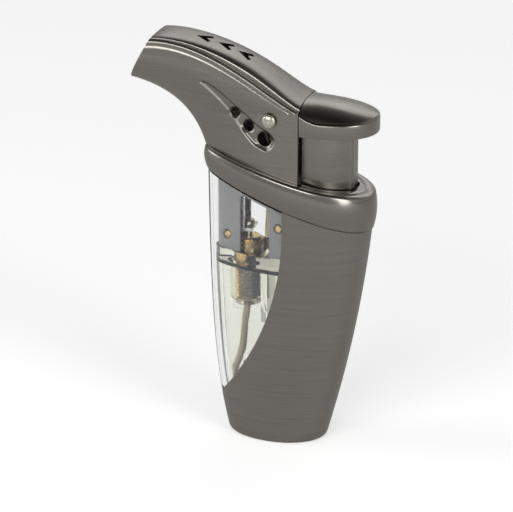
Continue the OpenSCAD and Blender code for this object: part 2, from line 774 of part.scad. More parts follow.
wire_r = 0.45;
module ignition_wire() {
    start = [piezo_x - piezo_side / 2 - 0.8 - wire_r, 0, lid_z + 1.8];
    color([0.1, 0.1, 0.1])
        hose(smooth([start, [3.2, -1.2, lid_z + 7.7], [0.6, -3.6, rim_z - 2.7], [-1, -4.6, pin_z - 6.5],
            [-4, -5, pin_z + 1], [-9.5, -4.7, pin_z + 6.1],
            burner_point(0, -insulator_side, -9.3)], 4), wire_r);
}

// ---------- collar ----------
function collar_ring(share, inset) = [for (i = [0 : facets - 1]) let (
        t = 360 * i / facets,
        z = seam_angle_z(t, seam_z),
        x = plan_x(z, t, inset))
    [x, plan_y(z, t, inset), mix(seam_at(x), rim_at(x), share)]];

deck_t = 1.2;
function lowered(ring, drop) = [for (p = ring) p - [0, 0, drop]];

module collar() {
    bulge = [for (k = [0 : 6]) let (share = 0.04 + 0.86 * k / 6)
        collar_ring(share, -collar_bulge * pow(sin(15 + 150 * k / 6), 0.8))];
    deck = collar_ring(1, collar_in - 0.2);
    color([0.3, 0.28, 0.27]) {
        skin(concat([collar_ring(0, collar_in), collar_ring(0, 0.3)], bulge,
            [collar_ring(0.97, 0.2), collar_ring(1, 0.8), collar_ring(1, collar_in)]), looped = true);
        difference() {
            skin([lowered(deck, deck_t), lowered(deck, 0.02)]);
            box([-span, -span, 0], [head_rear + seat, span, rim_z + span]);
            linear_extrude(rim_z + span) polygon(post_line(-deck_gap));
        }
    }
}

// ---------- head ----------
// The head is drawn as rings that swing from its foot on the collar round to the nozzle. Each
// ring leaves the underside line, widens, and ends at the edge that the top cover sits on.
corner_at = 0.36;                // share of the rings that climb the rear edge
side_n = 12;

function under(s) = bezier([[head_front, rim_at(head_front)], [head_front - 2.3, rim_at(head_front) + 7.6],
    nozzle_low + [7.8, -2], nozzle_low], s);
function edge_top(u) = bezier([[head_rear, corner_z], [head_rear - 7.1, corner_z + 2.8],
    nozzle_high + [13.4, 0.8], nozzle_high], u);
function edge(s) = s < corner_at
    ? [head_rear, mix(rim_at(head_rear), corner_z, s / corner_at)]
    : edge_top((s - corner_at) / (1 - corner_at));
function turned(s) = max(0, (s - corner_at) / (1 - corner_at));
function head_w(s) = s < corner_at ? mix(head_foot_w, head_back_w, s / corner_at)
    : mix(head_back_w, nozzle_w, pow(turned(s), 0.8));
function rim_w(s) = head_w(s) - 0.5 * turned(s) * turned(s);
function side_y(s, p) = let (
        widest = mix(1, 0.62, turned(s)),
        fall = mix(1.6, 2, turned(s)),
        root = mix(0.75, 0.5, turned(s)))
    p < widest ? head_w(s) * pow(max(0, 1 - pow(1 - p / widest, fall)), root)
        : head_w(s) - (head_w(s) - rim_w(s)) * pow((p - widest) / max(tiny, 1 - widest), 2);
// One open ring of the head, from the edge on one side, round the front, to the other side.
function head_ring(s, inset) = let (
        low = under(s),
        high = edge(s),
        along = unit(high - low),
        start = low + along * inset)
    [for (j = [-side_n : side_n]) let (
            p = 1 - cos(90 * abs(j) / side_n),
            at = start + (high - start) * p,
            y = side_y(s, p) * (1 - inset / head_w(s)))
        [at[0], sign(j) * y, at[1]]];
head_steps = concat([for (k = [0 : 5]) corner_at * k / 6],
    [for (k = [0 : 13]) corner_at + (1 - corner_at) * k / 13]);

// Air holes in each side, as place along the torch, height and radius.
vents = [[-8.15, corner_z - 1.15, 1.05], [-5.25, corner_z - 3.75, 1.25], [-1.65, corner_z - 6.25, 1.6]];

module head_shell() {
    color([0.42, 0.4, 0.37])
        difference() {
            sheet([for (s = head_steps) head_ring(s, 0)], [for (s = head_steps) head_ring(s, head_wall)]);
            for (vent = vents) translate([vent[0], 0, vent[1]]) rotate([90, 0, 0])
                cylinder(r = vent[2], h = span, center = true, $fn = 32);
            translate([pin_x, 0, pin_z]) rotate([90, 0, 0])
                cylinder(r = pin_r + slip, h = span, center = true, $fn = 32);
        }
}

cover_n = 9;
// Which way the cover rises: square to its edge, but in line with each of its two end faces.
function cover_up(u) = let (
        along = unit(edge_top(max(0, u - 0.01)) - edge_top(min(1, u + 0.01))),
        square = [-along[1], along[0]],
        near = pow(1 - u, 8),
        far = pow(u, 8))
    unit(square * (1 - near - far) + [0, 1] * near + unit(nozzle_high - nozzle_low) * far);
function crown(u) = mix(crown_end, crown_tip, u) + crown_mid * pow(sin(180 * pow(u, 0.8)), 2.5);
cover_sink = 0.3;                // how far the cover's edges lie below the top of the head's walls
// The cover lies between the head's walls. drop is the depth below its top face.
function cover_ring(u, drop) = let (
        s = corner_at + (1 - corner_at) * u,
        up = cover_up(u),
        w = rim_w(s) * (1 - head_wall / head_w(s)) - groove)
    [for (j = [-cover_n : cover_n]) let (
            a = 90 * j / cover_n,
            at = edge_top(u) + up * ((crown(u) + cover_sink) * pow(cos(a), 0.75) - cover_sink - drop))
        [at[0], w * sign(j) * pow(abs(sin(a)), 0.75), at[1]]];

module chevron() {
    shoulder = chevron_l - 0.6;
    notch = chevron_l - 1.5;
    inner = chevron_half - 0.9;
    polygon([[0, 0], [shoulder, chevron_half], [chevron_l, inner], [notch, 0],
        [chevron_l, -inner], [shoulder, -chevron_half]]);
}
chevron_at = [0.79, 0.67, 0.555];

module top_cover() {
    places = [for (k = [0 : 14]) k / 14];
    color([0.38, 0.36, 0.34])
        difference() {
            sheet([for (u = places) cover_ring(u, 0)], [for (u = places) cover_ring(u, cover_t)]);
            for (u = chevron_at) let (at = edge_top(u), up = cover_up(u))
                translate([at[0], 0, at[1]])
                    rotate([0, atan2(up[0], up[1]), 0])
                        translate([0, 0, -3]) linear_extrude(8) chevron();
        }
}

module lever_pin() {
    reach = head_w(corner_at);
    color([0.85, 0.83, 0.78])
        translate([pin_x, 0, pin_z])
            rotate([90, 0, 0])
                for (side = [0, 180]) rotate([side, 0, 0])
                    rotate_extrude($fn = 48)
                        polygon(concat([[0, 0], [pin_r, 0], [pin_r, reach], [pin_head_r, reach],
                            [pin_head_r, reach + 0.2]],
                            [for (a = [15 : 15 : 90]) [pin_head_r * cos(a), reach + 0.2 + 0.6 * sin(a)]]));
}

// ---------- lever and link ----------
lever_t = 2;
arm_t = 1.3;
lever_drop = 2;                  // how far the pressed end hangs below the pin
arm_end_r = 0.8;

module valve_lever() {
    tail = [press_arm, -lever_drop];
    color([0.6, 0.6, 0.6])
        translate([pin_x, 0, pin_z])
            rotate([90, 0, 0])
                difference() {
                    union() {
                        translate([0, 0, -lever_t / 2]) {
                            cylinder(r = pin_r + 1.1, h = lever_t, $fn = 48);
                            linear_extrude(lever_t)
                                polygon([[-lift_arm, -arm_t / 2], [0, -pin_r - 0.9], tail - [0, arm_t / 2],
                                    tail + [0, arm_t / 2], [0, pin_r + 0.6], [-lift_arm, arm_t / 2]]);
                            translate([-lift_arm, 0, 0]) cylinder(r = arm_end_r, h = lever_t, $fn = 32);
                            translate(tail) cylinder(r = arm_end_r, h = lever_t, $fn = 32);
                        }
                    }
                    cylinder(r = pin_r + slip, h = 20, center = true, $fn = 48);
                }
}

leg_y = 2.6;
leg_w = 1.1;
leg_t = 0.6;
module valve_link() {
    x = pin_x - lift_arm;
    low = stem_head_z - 0.3 - leg_t;
    top = pin_z + arm_end_r + 0.3;
    half = leg_w / 2;
    color([0.68, 0.68, 0.67])
        difference() {
            union() {
                for (side = [-1, 1]) translate([x, side * leg_y, low])
                    box([-half, -leg_t / 2, 0], [half, leg_t / 2, top + leg_t - low]);
                box([x - half, -leg_y, top], [x + half, leg_y, top + leg_t]);
                box([x - half, -leg_y, low], [valve_x + 1.3, leg_y, low + leg_t]);
            }
            translate([valve_x, 0, low - 1]) cylinder(r = stem_r + slip, h = span, $fn = 32);
        }
}

// ---------- button ----------
cap_front = head_rear + seat;
function cap_half(x) = let (peak = cap_front + 4.2)
    x < peak ? cap_w - (cap_w - cap_front_w) * pow((peak - x) / (peak - cap_front), 2)
        : cap_w * pow(max(0, 1 - pow((x - peak) / (cap_rear - peak), 2.3)), 0.435);
function cap_crown(x) = corner_z + crown_end
    - 2.6 * pow((x - cap_front) / (cap_rear - cap_front), 2);
function cap_shoulder(x) = min(cap_crown(x) - 0.2,
    cap_z + cap_rim + 1.4 * pow(max(0, 1 - (x - cap_front) / 5), 2));
function cap_ring(x, inset) = let (
        w = max(0.4, cap_half(x) - inset),
        side = cap_shoulder(x) - inset,
        rise = cap_crown(x) - inset - side)
    concat([[x, -w + 0.25, cap_z], [x, -w, cap_z + 0.3]],
        [for (a = [-90 : 11.25 : 90]) [x, w * sin(a), side + rise * pow(cos(a), 0.8)]],
        [[x, w, cap_z + 0.3], [x, w - 0.25, cap_z]]);
cap_steps = [for (k = [12 : -1 : 0]) sin(90 * k / 12)];

cap_wall = 1;
slot_half = lever_t / 2 + 0.5;   // of the slots that the lever passes through
module thumb_cap() {
    boss_x = pin_x + press_arm;
    color([0.34, 0.32, 0.31])
        difference() {
            union() {
                difference() {
                    skin([for (k = cap_steps) cap_ring(mix(cap_front, cap_rear, k), 0)]);
                    intersection() {
                        skin([for (k = cap_steps) let (
                                x = mix(cap_front + cap_wall, cap_rear - cap_wall, k))
                            cap_ring(x, cap_wall)]);
                        box([-span, -span, cap_z + cap_wall], [span, span, corner_z + span]);
                    }
                    translate([0, 0, cap_z - 1]) linear_extrude(3) polygon(post_line(post_wall));
                }
                translate([boss_x, 0, boss_z])
                    cylinder(r = 1.3, h = cap_crown(boss_x) - cap_wall / 2 - boss_z, $fn = 32);
            }
            box([cap_front - 1, -slot_half, cap_z - 1],
                [cap_front + cap_wall + 1, slot_half, cap_z + 5]);
        }
}
boss_z = pin_z - lever_drop + arm_end_r + 0.45;

post_front = head_rear + 0.5;
post_corner = 0.42;              // half width of the post's flat rear, as a share of its own
function post_line(inset) = let (
        front = post_front + inset,
        rear = post_rear - inset,
        w = post_w - inset,
        corner = w * post_corner,
        bend = 0.7)
    concat([for (k = [0 : 6]) [mix(front, rear - bend, k / 6), -post_side(k / 6, w, corner)]],
        [[rear, -corner * 0.5], [rear, corner * 0.5]],
        [for (k = [6 : -1 : 0]) [mix(front, rear - bend, k / 6), post_side(k / 6, w, corner)]]);
// The post's half width at a share of the way back: it swells in the middle.
function post_side(t, w, corner) = mix(w * 0.93, corner, pow(t, 2.4)) + 0.07 * w * sin(180 * t);

module thumb_post() {
    color([0.4, 0.38, 0.36])
        difference() {
            union() {
                translate([0, 0, post_z])
                    linear_extrude(cap_z - post_z)
                        difference() {
                            polygon(post_line(0));
                            polygon(post_line(post_wall));
                        }
                translate([0, 0, web_z]) linear_extrude(web_t) polygon(post_line(post_wall / 2));
            }
            box([post_front - 1, -slot_half, cap_z - 6],
                [post_front + post_wall + tiny, slot_half, cap_z + 5]);
        }
}

case_shell();
window_lens();
base_plate();
fuel_tank();
tank_lid();
lid_gasket();
valve_body();
valve_locknut();
chassis();
chassis_screws();
piezo_housing();
piezo_terminal();
ignition_wire();
electrode();
electrode_insulator();
gas_tube();
tube_fitting();
feed_tube();
regulator_body();
adjuster_dial();
fill_valve_body();
fill_seal();
fill_stem();
fill_spring();
burner_tube();
burner_block();
jet_orifice();
flame_ring();
burner_holder();
collar();
head_shell();
top_cover();
lever_pin();
valve_lever();
valve_link();
valve_stem();
valve_spring();
thumb_cap();
thumb_post();
piezo_plunger();
button_spring();
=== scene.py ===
"""A pocket butane torch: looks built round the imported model. Lengths are metres; outlines are in mm."""

import json
import math

import bmesh
import bpy
import numpy as np
from mathutils import Matrix, Vector


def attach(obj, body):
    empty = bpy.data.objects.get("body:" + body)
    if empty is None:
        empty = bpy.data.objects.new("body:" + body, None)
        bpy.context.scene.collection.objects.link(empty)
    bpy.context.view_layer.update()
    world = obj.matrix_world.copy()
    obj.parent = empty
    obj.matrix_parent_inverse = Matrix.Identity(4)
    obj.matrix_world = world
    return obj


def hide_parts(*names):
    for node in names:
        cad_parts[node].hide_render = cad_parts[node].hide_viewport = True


MM = 0.001
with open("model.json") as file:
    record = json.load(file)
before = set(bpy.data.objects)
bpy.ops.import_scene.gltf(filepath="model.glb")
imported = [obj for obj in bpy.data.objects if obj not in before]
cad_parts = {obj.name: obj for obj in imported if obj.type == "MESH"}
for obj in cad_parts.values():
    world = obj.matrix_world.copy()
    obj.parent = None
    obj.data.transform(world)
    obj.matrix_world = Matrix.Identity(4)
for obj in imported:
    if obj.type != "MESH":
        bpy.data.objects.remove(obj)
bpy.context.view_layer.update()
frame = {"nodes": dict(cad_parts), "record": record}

# ---------------------------------------------------------------- sizes, as in the model, in mm
FRONT_BASE, FRONT_GAIN, FRONT_RISE = 10.9, 4.9, 18
REAR_BASE, REAR_SLOPE, REAR_BOW = 10.4, 0.285, 0.0019
BASE_HALF_W, WIDTH_SLOPE = 7.2, 0.042
EGG_BASE, EGG_TOP = 0.08, 0.34
FOOT_R, CASE_WALL = 1.1, 0.9
SEAM_Z, SEAM_SLOPE = 54.4, 0.308
RIM_Z, RIM_SLOPE = 60.7, 0.212
COLLAR_BULGE, COLLAR_IN = 0.9, 1.5
WINDOW_REAR, WINDOW_TIP_Z, WINDOW_POWER, LENS_T = 2.8, 8.7, 2.4, 1.2
HEAD_REAR, HEAD_FOOT_W, HEAD_BACK_W, NOZZLE_W = 5.8, 8.7, 8.5, 6.65
HEAD_WALL, COVER_T, GROOVE, COVER_SINK = 1.0, 0.9, 0.2, 0.3
CROWN_END, CROWN_TIP, CROWN_MID = 1.3, 0.42, 0.8
CHEVRON_L, CHEVRON_HALF = 3.5, 2.2
CAP_REAR, CAP_W, CAP_Z, CAP_RIM = 20.88, 9.1, 69.6, 3.1
CAP_FRONT, CAP_FRONT_W = 5.95, 8.4
POST_FRONT, POST_REAR, POST_W, POST_WALL, POST_Z, WEB_Z = 6.3, 16.18, 7.4, 0.9, 55.0, 57.0
VALVE_X, LID_Z, OUTLET_X = -6.5, 42.3, -2.2
VALVE_Z, CUP_Z, SPIGOT_Z, ADJUSTER_X, PIEZO_X = 31.0, 29.6, 10.1, -4.6, 10.4
PIN_X, PIN_Z, PIN_HOLE = -0.3, 72.5, 1.08
CHASSIS_IN, CHASSIS_WALL, CHASSIS_REAR = 2.1, 1.1, 3.6
ARCH_X, ARCH_HALF, ARCH_TOP = -3.9, 3.4, 55.0
SCREWS = [(-10.2, 45.6), (1.6, 49.0)]
BURNER_AHEAD, BURNER_Z, BURNER_TILT, INSULATOR_SIDE = 26.4, 83.0, 10, 4.3
CHEVRON_AT = (0.79, 0.67, 0.555)
COMET_LOW = [(-15.9, 79.5), (-13.1, 77.15), (-10.85, 74.8), (-8.63, 72.0), (-6.4, 69.1), (-4.15, 66.9), (-2.36, 66.05)]
COMET_HIGH = [(0.75, 68.5), (-0.44, 69.9), (-2.66, 71.0), (-4.9, 72.6), (-7.1, 74.4), (-9.2, 76.25), (-11.6, 78.2), (-14.1, 79.6)]
COMET_DEPTH = 0.55
DECK_T, DECK_GAP, SEAT = 1.2, 0.45, 0.15
HEAD_FRONT, CORNER_Z = -16.2, 74.6
NOZZLE_LOW = np.array([-31.8, 77.9])
NOZZLE_HIGH = np.array([-26.4, 87.5])
CORNER_AT = 0.36
VENTS = [(-8.2, 73.1, 1.05), (-5.3, 70.5, 1.25), (-1.7, 68.1, 1.6)]


# ---------------------------------------------------------------- outlines
def mix(a, b, t):
    return a + (b - a) * t


def front_x(z):
    return -(FRONT_BASE + FRONT_GAIN * (1 - np.exp(-z / FRONT_RISE)))


def rear_x(z):
    return REAR_BASE + REAR_SLOPE * z - REAR_BOW * z * z


def half_w(z):
    return BASE_HALF_W + WIDTH_SLOPE * z


def egg(z):
    return mix(EGG_BASE, EGG_TOP, np.minimum(1, z / SEAM_Z))


def plan_x(z, t, inset=0.0):
    return (front_x(z) + rear_x(z)) / 2 + ((rear_x(z) - front_x(z)) / 2 - inset) * np.cos(t)


def plan_y(z, t, inset=0.0):
    return (half_w(z) - inset) * np.sin(t) * (1 + egg(z) * np.cos(t))


def seam_at(x):
    return SEAM_Z - SEAM_SLOPE * x


def rim_at(x):
    return RIM_Z - RIM_SLOPE * x


def seam_height(t):
    """Height of the seam at angle t round the case."""
    z = np.full_like(t, SEAM_Z)
    for _ in range(8):
        z = seam_at(plan_x(z, t))
    return z


def bezier(points, t):
    p = [np.asarray(q, float) for q in points]
    t = np.asarray(t, float)[..., None]
    return ((1 - t) ** 3 * p[0] + 3 * (1 - t) ** 2 * t * p[1]
            + 3 * (1 - t) * t * t * p[2] + t ** 3 * p[3])


def window_edge(z):
    """How far back the window reaches at height z."""
    top = seam_at(WINDOW_REAR)
    depth = np.clip((top - z) / (top - WINDOW_TIP_Z), 0, None)
    return WINDOW_REAR - (WINDOW_REAR - front_x(WINDOW_TIP_Z)) * depth ** WINDOW_POWER


def foot_inset(z):
    return FOOT_R - np.sqrt(np.maximum(0, FOOT_R ** 2 - np.clip(FOOT_R - z, 0, None) ** 2))


def case_height(share, t, drop=0.0):
    """Height of a ring that lies flat at the base and leans with the seam at the top."""
    return share * (seam_height(t) - drop)


def window_angle(share, grow=0.0):
    """Angle from the rear at which the window starts, on the ring at that share of the height."""
    low, high = 0.0, math.pi
    for _ in range(40):
        t = np.array([(low + high) / 2])
        z = case_height(share, t)
        if plan_x(z, t)[0] > window_edge(z)[0] + grow:
            low = t[0]
        else:
            high = t[0]
    return high


# ---------------------------------------------------------------- mesh helpers
def piece(name, verts, faces, body, replaces, material, smooth_angle=35, materials=None):
    mesh = bpy.data.meshes.new(name)
    mesh.from_pydata([tuple(float(c) * MM for c in v) for v in verts], [], faces)
    mesh.validate()
    bm = bmesh.new()
    bm.from_mesh(mesh)
    bmesh.ops.remove_doubles(bm, verts=bm.verts, dist=0.002 * MM)
    bmesh.ops.dissolve_degenerate(bm, edges=bm.edges, dist=0.0005 * MM)
    bmesh.ops.recalc_face_normals(bm, faces=bm.faces)
    bm.to_mesh(mesh)
    bm.free()
    mesh.shade_smooth()
    mesh.set_sharp_from_angle(angle=math.radians(smooth_angle))
    obj = bpy.data.objects.new(name, mesh)
    bpy.context.scene.collection.objects.link(obj)
    for m in materials or [material]:
        mesh.materials.append(m)
    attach(obj, body)
    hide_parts(*replaces)
    return obj


def grid_faces(rows, cols, start=0, wrap_rows=False, wrap_cols=False):
    faces = []
    for i in range(rows - (0 if wrap_rows else 1)):
        a, b = start + i * cols, start + ((i + 1) % rows) * cols
        for j in range(cols - (0 if wrap_cols else 1)):
            k = (j + 1) % cols
            faces.append((a + j, b + j, b + k, a + k))
    return faces


def shell(outer, inner, wrap=False):
    """A sheet with thickness, from an outer and an inner grid of points of the same shape."""
    rows, cols = outer.shape[:2]
    far = rows * cols
    verts = np.concatenate([outer.reshape(-1, 3), inner.reshape(-1, 3)])
    faces = grid_faces(rows, cols, 0, wrap_cols=wrap) + grid_faces(rows, cols, far, wrap_cols=wrap)
    span = range(cols if wrap else cols - 1)
    for i in (0, rows - 1):
        for j in span:
            a, b = i * cols + j, i * cols + (j + 1) % cols
            faces.append((a, b, far + b, far + a))
    if not wrap:
        for j in (0, cols - 1):
            for i in range(rows - 1):
                a, b = i * cols + j, (i + 1) * cols + j
                faces.append((a, b, far + b, far + a))
    return verts, faces


def capped(rings):
    """A solid skinned over closed rings, with a face over each end."""
    rows, cols = rings.shape[:2]
    faces = grid_faces(rows, cols, wrap_cols=True)
    faces.append(tuple(range(cols)))
    faces.append(tuple((rows - 1) * cols + j for j in range(cols)))
    return rings.reshape(-1, 3), faces


def ease_in(count, power=1.0):
    return np.linspace(0, 1, count) ** power


def bevel(obj, width, segments=2, angle=40):
    mod = obj.modifiers.new("edge", "BEVEL")
    mod.width = width * MM
    mod.segments = segments
    mod.limit_method = "ANGLE"
    mod.angle_limit = math.radians(angle)
    mod.harden_normals = False
    return mod


def apply_modifiers(obj):
    dg = bpy.context.evaluated_depsgraph_get()
    mesh = bpy.data.meshes.new_from_object(obj.evaluated_get(dg))
    obj.modifiers.clear()
    obj.data = mesh
    return obj


def cut(obj, verts, faces):
    """Cuts a closed shape out of a piece and applies the cut."""
    mesh = bpy.data.meshes.new("cutter")
    mesh.from_pydata([tuple(float(c) * MM for c in v) for v in verts], [], faces)
    bm = bmesh.new()
    bm.from_mesh(mesh)
    bmesh.ops.recalc_face_normals(bm, faces=bm.faces)
    bm.to_mesh(mesh)
    bm.free()
    tool = bpy.data.objects.new("cutter", mesh)
    bpy.context.scene.collection.objects.link(tool)
    mod = obj.modifiers.new("cut", "BOOLEAN")
    mod.operation = "DIFFERENCE"
    mod.solver = "EXACT"
    mod.object = tool
    apply_modifiers(obj)
    bpy.data.objects.remove(tool)
    bpy.data.meshes.remove(mesh)


# ---------------------------------------------------------------- materials
def new_material(name):
    m = bpy.data.materials.new(name)
    m.use_nodes = True
    return m, m.node_tree, m.node_tree.nodes["Principled BSDF"]


def streaks(tree, along, across, detail=4.0):
    """Noise drawn out into fine level lines, as brushing leaves: long round the part, fine up it."""
    coords = tree.nodes.new("ShaderNodeTexCoord")
    mapping = tree.nodes.new("ShaderNodeMapping")
    mapping.inputs["Scale"].default_value = (along, along, across)
    noise = tree.nodes.new("ShaderNodeTexNoise")
    noise.inputs["Scale"].default_value = 1.0
    noise.inputs["Detail"].default_value = detail
    noise.inputs["Roughness"].default_value = 0.65
    tree.links.new(coords.outputs["Object"], mapping.inputs["Vector"])
    tree.links.new(mapping.outputs["Vector"], noise.inputs["Vector"])
    return noise.outputs["Fac"]


def remap(tree, value, low, high, start=0.3, end=0.7):
    node = tree.nodes.new("ShaderNodeMapRange")
    node.inputs["From Min"].default_value = start
    node.inputs["From Max"].default_value = end
    node.inputs["To Min"].default_value = low
    node.inputs["To Max"].default_value = high
    tree.links.new(value, node.inputs["Value"])
    return node.outputs["Result"]


def two_colours(tree, value, low, high, start=0.3, end=0.7):
    ramp = tree.nodes.new("ShaderNodeValToRGB")
    ramp.color_ramp.elements[0].position = start
    ramp.color_ramp.elements[0].color = (*low, 1)
    ramp.color_ramp.elements[1].position = end
    ramp.color_ramp.elements[1].color = (*high, 1)
    tree.links.new(value, ramp.inputs["Fac"])
    return ramp.outputs["Color"]


def bump(tree, shader, value, depth_mm, strength=1.0):
    node = tree.nodes.new("ShaderNodeBump")
    node.inputs["Strength"].default_value = strength
    node.inputs["Distance"].default_value = depth_mm * MM
    tree.links.new(value, node.inputs["Height"])
    tree.links.new(node.outputs["Normal"], shader.inputs["Normal"])


def brushed_metal(name, low, high, rough_low, rough_high, depth=0.012):
    m, tree, shader = new_material(name)
    lines = streaks(tree, 70, 7000, 3.0)
    shader.inputs["Metallic"].default_value = 1.0
    shader.inputs["Anisotropic"].default_value = 0.5
    tree.links.new(two_colours(tree, lines, low, high), shader.inputs["Base Color"])
    tree.links.new(remap(tree, lines, rough_low, rough_high), shader.inputs["Roughness"])
    bump(tree, shader, lines, depth)
    return m


def plated_metal(name, low, high, rough_low, rough_high, scale=900, depth=0.003, metallic=1.0):
    """Plating with a slight grain in its colour and gloss."""
    m, tree, shader = new_material(name)
    grain = streaks(tree, scale, scale)
    shader.inputs["Metallic"].default_value = metallic
    tree.links.new(two_colours(tree, grain, low, high), shader.inputs["Base Color"])
    tree.links.new(remap(tree, grain, rough_low, rough_high), shader.inputs["Roughness"])
    bump(tree, shader, grain, depth)
    return m


def moulded(name, low, high, rough_low, rough_high, scale=1500, depth=0.01):
    return plated_metal(name, low, high, rough_low, rough_high, scale, depth, metallic=0.0)


def clear_plastic(name, tint, rough=0.02, ior=1.46):
    m, tree, shader = new_material(name)
    haze = streaks(tree, 120, 120)
    shader.inputs["Transmission Weight"].default_value = 1.0
    shader.inputs["IOR"].default_value = ior
    tree.links.new(two_colours(tree, haze, tint, tuple(min(1, c * 1.03) for c in tint)),
                   shader.inputs["Base Color"])
    tree.links.new(remap(tree, haze, rough, rough * 2), shader.inputs["Roughness"])
    return m


def make_materials():
    return {
        "brushed_gunmetal": brushed_metal("brushed_gunmetal", (0.25, 0.232, 0.208), (0.3, 0.28, 0.253), 0.26, 0.36, 0.006),
        "satin_gunmetal": brushed_metal("satin_gunmetal", (0.24, 0.223, 0.2), (0.28, 0.262, 0.236), 0.22, 0.3, 0.003),
        "polished_gunmetal": brushed_metal("polished_gunmetal", (0.25, 0.232, 0.208), (0.29, 0.272, 0.246), 0.17, 0.24, 0.003),
        "dark_plate": plated_metal("dark_plate", (0.14, 0.13, 0.12), (0.18, 0.17, 0.16), 0.35, 0.5),
        "clear_window": clear_plastic("clear_window", (0.97, 0.98, 0.97)),
        "clear_tank": clear_plastic("clear_tank", (0.95, 0.95, 0.9), 0.03),
        "clear_lid": clear_plastic("clear_lid", (0.94, 0.92, 0.78), 0.05),
        "black_rubber": moulded("black_rubber", (0.02, 0.02, 0.02), (0.035, 0.035, 0.035), 0.5, 0.7),
        "brass": plated_metal("brass", (0.55, 0.38, 0.16), (0.72, 0.54, 0.27), 0.18, 0.32, 1800),
        "grey_frame": moulded("grey_frame", (0.3, 0.3, 0.31), (0.36, 0.36, 0.37), 0.35, 0.5),
        "black_plastic": moulded("black_plastic", (0.02, 0.02, 0.02), (0.035, 0.035, 0.035), 0.35, 0.5),
        "black_wire": moulded("black_wire", (0.015, 0.015, 0.015), (0.03, 0.03, 0.03), 0.35, 0.45),
        "cream_tube": moulded("cream_tube", (0.66, 0.56, 0.36), (0.78, 0.69, 0.48), 0.3, 0.45),
        "dark_fitting": plated_metal("dark_fitting", (0.1, 0.085, 0.07), (0.17, 0.15, 0.13), 0.25, 0.4),
        "bright_steel": plated_metal("bright_steel", (0.56, 0.52, 0.44), (0.66, 0.62, 0.53), 0.2, 0.3),
        "spring_steel": plated_metal("spring_steel", (0.4, 0.4, 0.4), (0.5, 0.5, 0.5), 0.2, 0.3),
        "heat_steel": plated_metal("heat_steel", (0.3, 0.26, 0.22), (0.42, 0.37, 0.31), 0.25, 0.4),
        "link_steel": plated_metal("link_steel", (0.42, 0.42, 0.42), (0.55, 0.55, 0.54), 0.2, 0.32),
        "white_plastic": moulded("white_plastic", (0.7, 0.69, 0.65), (0.78, 0.77, 0.73), 0.3, 0.4),
        "ceramic_white": moulded("ceramic_white", (0.74, 0.72, 0.66), (0.82, 0.8, 0.74), 0.15, 0.3),
    }


# ---------------------------------------------------------------- camera, light and floor
CAM_AZIMUTH, CAM_ELEVATION, CAM_DISTANCE = 15.0, 20.0, 500.0
CAM_TARGET = np.array([-5.169, 0, 39.862])
FOCAL_PX, FRAME_PX, SENSOR = 2350, 513, 36.0


def make_camera():
    a, e = math.radians(CAM_AZIMUTH), math.radians(CAM_ELEVATION)
    back = np.array([math.sin(a) * math.cos(e), -math.cos(a) * math.cos(e), math.sin(e)])
    data = bpy.data.cameras.new("camera")
    data.sensor_width = SENSOR
    data.lens = FOCAL_PX * SENSOR / FRAME_PX
    data.clip_start, data.clip_end = 0.01, 10
    cam = bpy.data.objects.new("camera", data)
    bpy.context.scene.collection.objects.link(cam)
    cam.location = Vector((CAM_TARGET + back * CAM_DISTANCE) * MM)
    cam.rotation_mode = "QUATERNION"
    cam.rotation_quaternion = Vector(-back).to_track_quat("-Z", "Y")
    bpy.context.scene.camera = cam


def area_light(name, place, aim, size, power, colour=(1, 1, 1)):
    data = bpy.data.lights.new(name, "AREA")
    data.shape = "RECTANGLE"
    data.size, data.size_y = size
    data.energy = power
    data.color = colour
    obj = bpy.data.objects.new(name, data)
    bpy.context.scene.collection.objects.link(obj)
    obj.location = place
    obj.rotation_mode = "QUATERNION"
    obj.rotation_quaternion = (Vector(aim) - Vector(place)).to_track_quat("-Z", "Y")
    return obj


def make_floor():
    size = 3.0
    mesh = bpy.data.meshes.new("floor")
    mesh.from_pydata([(-size, -size, 0), (size, -size, 0), (size, size, 0), (-size, size, 0)], [], [(0, 1, 2, 3)])
    floor = bpy.data.objects.new("floor", mesh)
    bpy.context.scene.collection.objects.link(floor)
    m, tree, shader = new_material("floor_white")
    shader.inputs["Roughness"].default_value = 0.9
    shader.inputs["Specular IOR Level"].default_value = 0.0
    path = tree.nodes.new("ShaderNodeLightPath")
    shade = tree.nodes.new("ShaderNodeMix")
    shade.data_type = "RGBA"
    shade.inputs[6].default_value = (0.88, 0.88, 0.88, 1)
    shade.inputs[7].default_value = (0.8, 0.8, 0.8, 1)
    tree.links.new(path.outputs["Is Glossy Ray"], shade.inputs[0])
    tree.links.new(shade.outputs[2], shader.inputs["Base Color"])
    seen = tree.nodes.new("ShaderNodeMath")
    seen.operation = "MAXIMUM"
    lift = tree.nodes.new("ShaderNodeMath")
    lift.operation = "MULTIPLY"
    lift.inputs[1].default_value = 0.44
    tree.links.new(path.outputs["Is Camera Ray"], seen.inputs[0])
    tree.links.new(path.outputs["Is Transmission Ray"], seen.inputs[1])
    tree.links.new(seen.outputs[0], lift.inputs[0])
    shader.inputs["Emission Color"].default_value = (1, 1, 1, 1)
    tree.links.new(lift.outputs[0], shader.inputs["Emission Strength"])
    mesh.materials.append(m)


